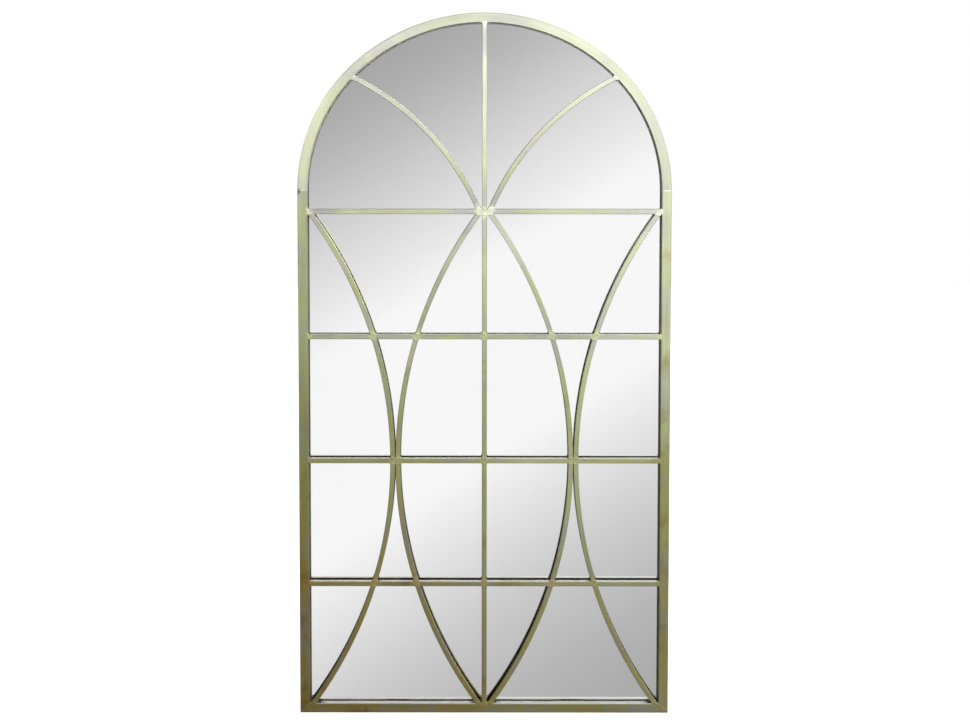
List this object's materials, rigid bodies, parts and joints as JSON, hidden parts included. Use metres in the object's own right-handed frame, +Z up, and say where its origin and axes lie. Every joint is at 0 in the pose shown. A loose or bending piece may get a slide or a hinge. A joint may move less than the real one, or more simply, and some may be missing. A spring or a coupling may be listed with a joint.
{
  "type": "arched wall mirror",
  "caption": "Tall arched mirror behind a welded metal grille of straight and bowed bars, with swinging hanger rings on its back.",
  "frame": {"origin": "the hanging point: on the wall plane behind the mirror, halfway between the pivots of the two hanger rings and at their height", "axes": "+X to the right as one faces the mirror, +Y back into the wall, +Z up"},
  "size_m": [0.965, 0.0324, 1.829],
  "materials": {
    "brass_finish": "antique brass plating on welded steel, brushed and patchy",
    "mirror": "silvered float glass, polished",
    "board": "hardboard, plain",
    "rubber": "black, matt",
    "zinc_steel": "zinc plated"
  },
  "bodies": {
    "mirror": {"backing_board": "board", "centre_bar_1": "brass_finish", "centre_bar_2": "brass_finish", "centre_bar_3": "brass_finish", "centre_bar_4": "brass_finish", "centre_bar_top": "brass_finish", "clip_screws": "zinc_steel", "cross_bar_1": "brass_finish", "cross_bar_2": "brass_finish", "cross_bar_3": "brass_finish", "cross_bar_4": "brass_finish", "curve_left_inner_1": "brass_finish", "curve_left_inner_2": "brass_finish", "curve_left_inner_3": "brass_finish", "curve_left_inner_4": "brass_finish", "curve_left_outer_1": "brass_finish", "curve_left_outer_2": "brass_finish", "curve_left_outer_3": "brass_finish", "curve_left_outer_4": "brass_finish", "curve_right_inner_1": "brass_finish", "curve_right_inner_2": "brass_finish", "curve_right_inner_3": "brass_finish", "curve_right_inner_4": "brass_finish", "curve_right_outer_1": "brass_finish", "curve_right_outer_2": "brass_finish", "curve_right_outer_3": "brass_finish", "curve_right_outer_4": "brass_finish", "curve_top_left": "brass_finish", "curve_top_right": "brass_finish", "frame_arch": "brass_finish", "frame_bottom_rail": "brass_finish", "frame_stile_left": "brass_finish", "frame_stile_right": "brass_finish", "glass_pads": "rubber", "hanger_screws": "zinc_steel", "hanger_strap_left": "zinc_steel", "hanger_strap_right": "zinc_steel", "mirror_glass": "mirror", "retaining_clips": "zinc_steel", "setting_blocks": "rubber", "wall_bumpers": "rubber"},
    "ring_left": {"hanger_ring_left": "zinc_steel"},
    "ring_right": {"hanger_ring_right": "zinc_steel"}
  },
  "joints": [
    {"name": "ring_left_swing", "type": "hinge", "parent": "mirror", "child": "ring_left", "pos_m": [-0.4698, -0.004, 0], "axis": [1, 0, 0], "range_deg": [0, 180]},
    {"name": "ring_right_swing", "type": "hinge", "parent": "mirror", "child": "ring_right", "pos_m": [0.4698, -0.004, 0], "axis": [1, 0, 0], "range_deg": [0, 180]}
  ]
}
